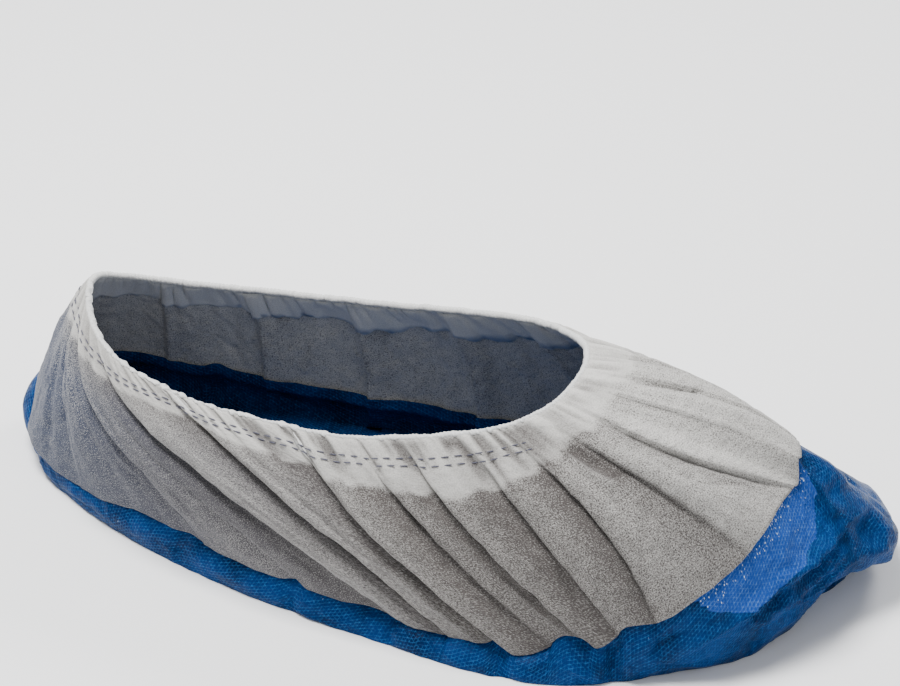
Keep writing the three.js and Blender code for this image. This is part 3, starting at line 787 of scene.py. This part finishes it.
embossed_film, shader, node = new_material("embossed polyethylene film")
place = node("ShaderNodeUVMap", uv_map="cloth_mm")
on_margin = node("ShaderNodeAttribute", attribute_name="panel").outputs["Fac"]
on_margin = node("ShaderNodeMapRange", {"Value": on_margin, "From Min": 0.4, "From Max": 0.6},
    interpolation_type="SMOOTHSTEP")
creased, patches, catching, cluster, wander = (
    node("ShaderNodeTexNoise", {"Vector": place, "Scale": 1 / size, "Detail": detail,
                                "Roughness": rough, "Distortion": bend})
    for size, detail, rough, bend in FILM_PATTERNS)
uneven, bent = (
    node("ShaderNodeVectorMath", {0: wander.outputs["Color"], 1: reach, 2: place},
         operation="MULTIPLY_ADD") for reach in (WANDER_RIBS, WANDER_FACETS))
ribs = 0.0
for family, across, strength in RIBS:
    way = tuple(part / RIB_PITCH for part in across)
    count = node("ShaderNodeVectorMath", {0: uneven, 1: way},
        operation="DOT_PRODUCT").outputs["Value"]
    from_rib = node("ShaderNodeMath", {0: count, 1: 0.5}, operation="PINGPONG")
    rib = node("ShaderNodeMapRange", {"Value": from_rib, "From Min": 0.2, "From Max": 0.02},
        interpolation_type="SMOOTHSTEP")
    ribs = node("ShaderNodeMath", {0: rib, 1: strength, 2: ribs}, operation="MULTIPLY_ADD")
patchy = node("ShaderNodeMapRange", {"Value": patches, "From Min": 0.35, "From Max": 0.7})
body_blue = node("ShaderNodeMix", {0: patchy, 6: linear(FILM_BLUE), 7: linear(FILM_DEEP)},
    data_type="RGBA").outputs[2]
backed_blue = node("ShaderNodeMix", {0: on_margin, 6: body_blue, 7: linear(PANEL_BLUE)},
    data_type="RGBA").outputs[2]
# painted highlight: where the ribs catch the light they are painted a lighter blue
catching = node("ShaderNodeMapRange", {"Value": catching, "From Min": 0.38, "From Max": 0.72,
    "To Max": 0.6})
lit = node("ShaderNodeMath", {0: ribs, 1: catching}, operation="MULTIPLY", use_clamp=True)
lit_rib_blue = node("ShaderNodeMix", {0: on_margin, 6: linear(LIT_RIB_BLUE), 7: linear(LIT_PANEL_RIB_BLUE)},
    data_type="RGBA").outputs[2]
blue_with_lit_ribs = node("ShaderNodeMix", {0: lit, 6: backed_blue, 7: lit_rib_blue}, data_type="RGBA").outputs[2]
# painted glints: small white spots, most of them near the cloth's edge and on the panel
spots = node("ShaderNodeVectorMath", {0: place, 1: GLINT_PITCH}, operation="DIVIDE")
spots = node("ShaderNodeTexVoronoi", {"Vector": spots, "Scale": 1.0}).outputs
luck = node("ShaderNodeSeparateColor", {"Color": spots["Color"]})
down_film = node("ShaderNodeSeparateXYZ", {"Vector": place}).outputs["Y"]
near_cloth = node("ShaderNodeMapRange", {"Value": down_film, "From Min": GLINTS_TO[1],
    "From Max": GLINTS_TO[0]}, interpolation_type="SMOOTHSTEP")
glinting = node("ShaderNodeMath", {0: cluster, 1: 1.4, 2: luck}, operation="MULTIPLY_ADD")
glinting = node("ShaderNodeMath", {0: near_cloth, 1: on_margin, 2: glinting},
    operation="MULTIPLY_ADD")
glinting = node("ShaderNodeMapRange", {"Value": glinting, "From Min": 1.78, "From Max": 2.1,
    "To Max": 0.9}, interpolation_type="SMOOTHSTEP")
glint_shape = node("ShaderNodeMapRange", {"Value": spots["Distance"], "From Min": 0.3,
    "From Max": 0.1}, interpolation_type="SMOOTHSTEP")
glinting = node("ShaderNodeMath", {0: glinting, 1: glint_shape}, operation="MULTIPLY")
colour = node("ShaderNodeMix", {0: glinting, 6: blue_with_lit_ribs, 7: linear(PAINTED_GLINT)},
    data_type="RGBA").outputs[2]
soft_bump = node("ShaderNodeBump", {"Height": creased, "Strength": 0.5, "Distance": 1.0 * MM})
facets = node("ShaderNodeTexVoronoi", {"Vector": bent, "Scale": 1 / FACET})
facet_bump = node("ShaderNodeBump", {"Height": facets, "Strength": 0.45, "Distance": 3.0 * MM,
    "Normal": soft_bump})
grain_bump = node("ShaderNodeBump", {"Height": ribs, "Strength": 0.7, "Distance": 0.15 * MM,
    "Normal": facet_bump})
roughness = node("ShaderNodeMapRange", {"Value": patches, "To Min": 0.26, "To Max": 0.42})
fill(shader, {"Base Color": colour, "Normal": grain_bump, "Roughness": roughness,
              "IOR": 1.51, "Specular IOR Level": 0.06})

film_sole.data.materials.append(embossed_film)
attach(film_sole, "root")
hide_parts("sole_film")


# ---- Elastic hem ----
# The upper's own edge, turned in round a thin elastic cord and back down behind itself. The
# cord pulls the roll into a fine crinkle all round the opening.

ROLL_RADIUS = 1.35
ROLL_POINTS = 1200
ROLL_SIDES = 12
ROLL_LOOP = 1.5  # one crinkle of the roll, mm
ROLL_CRINKLE = 0.32  # how far each crinkle stands out, mm
ROLL_UNEVEN = 0.12  # how much crinkles differ, mm
ROLL_WOBBLE = 0.1  # and how much each is out of round, mm
HEM_GAP = 0.5  # between the cloth and the part turned in behind it, mm
HEM_WALL = 0.5
HEM_DEPTHS = (2.6, 5.0, 8.0, 11.0, 14.0, 17.0)  # rows of the turned-in part, mm below the rim
BAND_ROW = 20  # row of the cloth at which the turned-in part's end is read


def at_depth(depth):
    """Points and outward directions on the cloth at a depth below the rim, mm."""
    wanted = np.broadcast_to(depth, (len(FOLD_OF),)) - CLOTH_START
    places, ways = [], []
    for column, reach in enumerate(wanted):
        row = np.interp(reach, down_mm[:, column], np.arange(CLOTH_ROWS))
        low = min(int(row), CLOTH_ROWS - 2)
        share = row - low
        places.append(cloth[low, column] * (1 - share) + cloth[low + 1, column] * share)
        ways.append(cloth_normal[low, column] * (1 - share) + cloth_normal[low + 1, column] * share)
    return np.array(places), unit(np.array(ways))


# the roll, an uneven ring whose section is closed
top, outward = cloth[0], cloth_normal[0]
downward = unit(cloth[2] - cloth[0])
core = top - outward * (ROLL_RADIUS - 0.1) - downward * (CLOTH_START - 0.5)
for _ in range(6):
    core = (np.roll(core, 1, axis=0) + core + np.roll(core, -1, axis=0)) / 3
closed = np.concatenate([core, core[:1]])
run = np.concatenate([[0], np.cumsum(np.linalg.norm(np.diff(closed, axis=0), axis=1))])
at = np.linspace(0, run[-1], ROLL_POINTS, endpoint=False)
core, outward_at, downward_at = (
    np.stack([np.interp(at, run, np.append(v[:, k], v[0, k])) for k in range(3)], axis=1)
    for v in (core, outward, downward))
outward_at, downward_at = unit(outward_at), unit(downward_at)
chance = np.random.default_rng(41)
loops = int(run[-1] / ROLL_LOOP)
loop_size = np.interp(at, np.linspace(0, run[-1], loops), chance.uniform(-1, 1, loops))
crinkle = np.abs(np.sin(np.pi * at / run[-1] * loops))
angles = np.arange(ROLL_SIDES) * 2 * np.pi / ROLL_SIDES
roll = []
for angle in angles:
    wobble = np.interp(at, np.linspace(0, run[-1], loops), chance.uniform(-1, 1, loops))
    radius = (ROLL_RADIUS + ROLL_CRINKLE * (crinkle - 0.5) + ROLL_UNEVEN * loop_size
              + ROLL_WOBBLE * wobble)
    roll.append(core + radius[:, None] * (outward_at * np.cos(angle) - downward_at * np.sin(angle)))
roll = np.array(roll)

hem_rows = []
for depth in (*HEM_DEPTHS, band[BAND_ROW]):
    places, ways = at_depth(depth)
    hem_rows.append(places - ways * (CLOTH_WALL + HEM_GAP))
turned_in = np.array(hem_rows)
turned_in_normal = row_normals(turned_in)

number = np.arange(ROLL_SIDES * ROLL_POINTS).reshape(ROLL_SIDES, ROLL_POINTS)
turned = np.roll(number, -1, axis=0)
roll_faces = np.stack([number, np.roll(number, -1, axis=1), np.roll(turned, -1, axis=1), turned],
                      axis=-1).reshape(-1, 4)
hem = thin_wall("elastic_hem_cloth", turned_in + TO_MODEL, -turned_in_normal * HEM_WALL,
                pattern_charts(turned_in, fold_by_fold=False), {})
roll_mesh = bpy.data.meshes.new("roll")
roll_mesh.from_pydata(((roll + TO_MODEL) * MM).reshape(-1, 3).tolist(), [], roll_faces.tolist())
roll_uv = np.stack([np.broadcast_to(at, number.shape),
                    np.broadcast_to((angles * ROLL_RADIUS)[:, None], number.shape)], axis=-1)
roll_mesh.uv_layers.new(name="cloth_mm").data.foreach_set(
    "uv", roll_uv.reshape(-1, 2)[roll_faces.reshape(-1)].reshape(-1).astype(np.float32))
roll_mesh.shade_smooth()
roll_piece = put_in_scene("roll", roll_mesh)
with bpy.context.temp_override(active_object=hem, selected_editable_objects=[hem, roll_piece]):
    bpy.ops.object.join()

# The same spunbond, but rolled up thick, so nothing shows through: brighter, and furry where its
# crinkled threads stand up.
HEM_WHITE = "e6e6e3"
HEM_SHADE = "b9b9b8"

hem_cloth, shader, node = new_material("turned-in spunbond polypropylene")
place = node("ShaderNodeUVMap", uv_map="cloth_mm")
fuzz = node("ShaderNodeTexNoise", {"Vector": place, "Scale": 1.8, "Detail": 4.0, "Roughness": 0.75})
fuzzy = node("ShaderNodeMapRange", {"Value": fuzz, "From Min": 0.3, "From Max": 0.7})
colour = node("ShaderNodeMix", {0: fuzzy, 6: linear(HEM_WHITE), 7: linear(HEM_SHADE)},
    data_type="RGBA").outputs[2]
fur_bump = node("ShaderNodeBump", {"Height": fuzz, "Strength": 0.7, "Distance": 0.4 * MM})
fill(shader, {"Base Color": colour, "Normal": fur_bump, "Roughness": 0.92,
              "Specular IOR Level": 0.25, "Sheen Weight": 0.2})

hem.data.materials.append(hem_cloth)
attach(hem, "root")
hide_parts("elastic_hem")


# ---- Stitches ----
# Two rows of lockstitch in polyester thread, about 10 and 13 mm below the rim, that hold
# the turned-in cloth down; the thread is drawn dark grey, partly for its own grey and partly as
# painted shade in the stitch holes. Round the toe they sink into the gathered cloth.

STITCH_DEPTHS = (9.8, 13.3)  # mm below the rim
STITCH_PITCH = 4.9  # mm
STITCH_LENGTH = 2.9  # mm
THREAD = 0.56  # mm thick: a real one is too fine to show
THREAD_SIDES = 6
STITCH_PROUD = 0.2  # of the cloth, to the thread's middle, mm
STITCH_SUNK = 1.5  # how much lower it lies where it is buried, mm
STITCHES_GO = (7.9, 8.5)  # stations between which the rows sink in
STITCHES_COME = (12.2, 13.0)  # and between which they come back
STITCH_END = 0.5  # its thickness at its ends, against the thread's
STITCH_WHOLE = (0.75, 1.0)  # how far along it is how thick
THREAD_GREY = "5c5c6a"
THREAD_DARK = "3a3a46"

# Spun polyester thread: a matt two-ply twist, its plies a slanting ripple; its dark grey is
# partly painted shade of the stitch holes.
thread_grey, shader, node = new_material("polyester thread")
place = node("ShaderNodeTexCoord").outputs["Object"]
twist = node("ShaderNodeTexWave", {"Vector": place, "Scale": 900.0, "Distortion": 1.0},
    bands_direction="DIAGONAL").outputs["Fac"]
colour = node("ShaderNodeMix", {0: twist, 6: linear(THREAD_DARK), 7: linear(THREAD_GREY)},
    data_type="RGBA").outputs[2]
ply_bump = node("ShaderNodeBump", {"Height": twist, "Strength": 0.5, "Distance": 0.08 * MM})
fill(shader, {"Base Color": colour, "Normal": ply_bump, "Roughness": 0.7})

stitching = bpy.data.node_groups.new("row of stitches", "GeometryNodeTree")
stitching.interface.new_socket("Geometry", in_out="INPUT", socket_type="NodeSocketGeometry")
sockets = {name: stitching.interface.new_socket(name, in_out="INPUT", socket_type="NodeSocketFloat")
           for name in ("Pitch", "Length", "Thickness")}
stitching.interface.new_socket("Geometry", in_out="OUTPUT", socket_type="NodeSocketGeometry")
node = partial(add_node, stitching)
given = node("NodeGroupInput").outputs
spaced = node("GeometryNodeResampleCurve", {"Curve": given["Geometry"], "Length": given["Pitch"]},
    mode="LENGTH")
along = node("GeometryNodeInputTangent")
turn = node("FunctionNodeAlignRotationToVector", {"Vector": along}, axis="X")
stitch_line = node("GeometryNodeMeshLine", {"Count": 5, "Start Location": (-0.5, 0, 0),
    "Offset": (0.5, 0, 0)}, mode="END_POINTS", count_mode="TOTAL")
stitch_curve = node("GeometryNodeMeshToCurve", {"Mesh": stitch_line})
section = node("GeometryNodeCurvePrimitiveCircle", {"Resolution": THREAD_SIDES, "Radius": 1.0})
place_along = node("GeometryNodeSplineParameter")
taper = node("ShaderNodeFloatCurve", {"Value": place_along})
points = taper.mapping.curves[0].points
points[0].location, points[1].location = (0.0, STITCH_END), (1.0, STITCH_END)
points.new(*STITCH_WHOLE)
taper.mapping.update()
scale_x = node("ShaderNodeCombineXYZ", {"X": given["Length"], "Y": 1.0, "Z": 1.0})
stretched = node("GeometryNodeTransform", {"Geometry": stitch_curve, "Scale": scale_x})
half_thick = node("ShaderNodeMath", {0: given["Thickness"], 1: 0.5}, operation="MULTIPLY")
sized = node("ShaderNodeMath", {0: taper, 1: half_thick}, operation="MULTIPLY")
body = node("GeometryNodeCurveToMesh", {"Curve": stretched, "Scale": sized,
    "Profile Curve": section, "Fill Caps": True})
rows_of = node("GeometryNodeInstanceOnPoints", {"Points": spaced, "Instance": body,
    "Rotation": turn})
real = node("GeometryNodeRealizeInstances", {"Geometry": rows_of})
coloured = node("GeometryNodeSetMaterial", {"Geometry": real, "Material": thread_grey})
node("NodeGroupOutput", {"Geometry": coloured})

for row_number, depth in enumerate(STITCH_DEPTHS, 1):
    places, ways = at_depth(depth)
    buried = smooth(*STITCHES_GO, stations[0]) * (1 - smooth(*STITCHES_COME, stations[0]))
    places = (places + ways * (STITCH_PROUD - STITCH_SUNK * buried)[:, None] + TO_MODEL) * MM
    guide = bpy.data.curves.new("guide", "CURVE")
    guide.dimensions = "3D"
    line = guide.splines.new("POLY")
    line.points.add(len(places) - 1)
    line.points.foreach_set("co", np.append(places, np.ones((len(places), 1)), axis=1).reshape(-1))
    line.use_cyclic_u = True
    guide_piece = put_in_scene("guide", guide)
    modifier = guide_piece.modifiers.new("stitches", "NODES")
    modifier.node_group = stitching
    for name, size in (("Pitch", STITCH_PITCH), ("Length", STITCH_LENGTH), ("Thickness", THREAD)):
        modifier[sockets[name].identifier] = size * MM
    shape = bpy.data.meshes.new_from_object(
        guide_piece.evaluated_get(bpy.context.evaluated_depsgraph_get()))
    bpy.data.objects.remove(guide_piece)
    shape.name = f"stitches_{row_number}"
    stitches = put_in_scene(shape.name, shape)
    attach(stitches, "root")
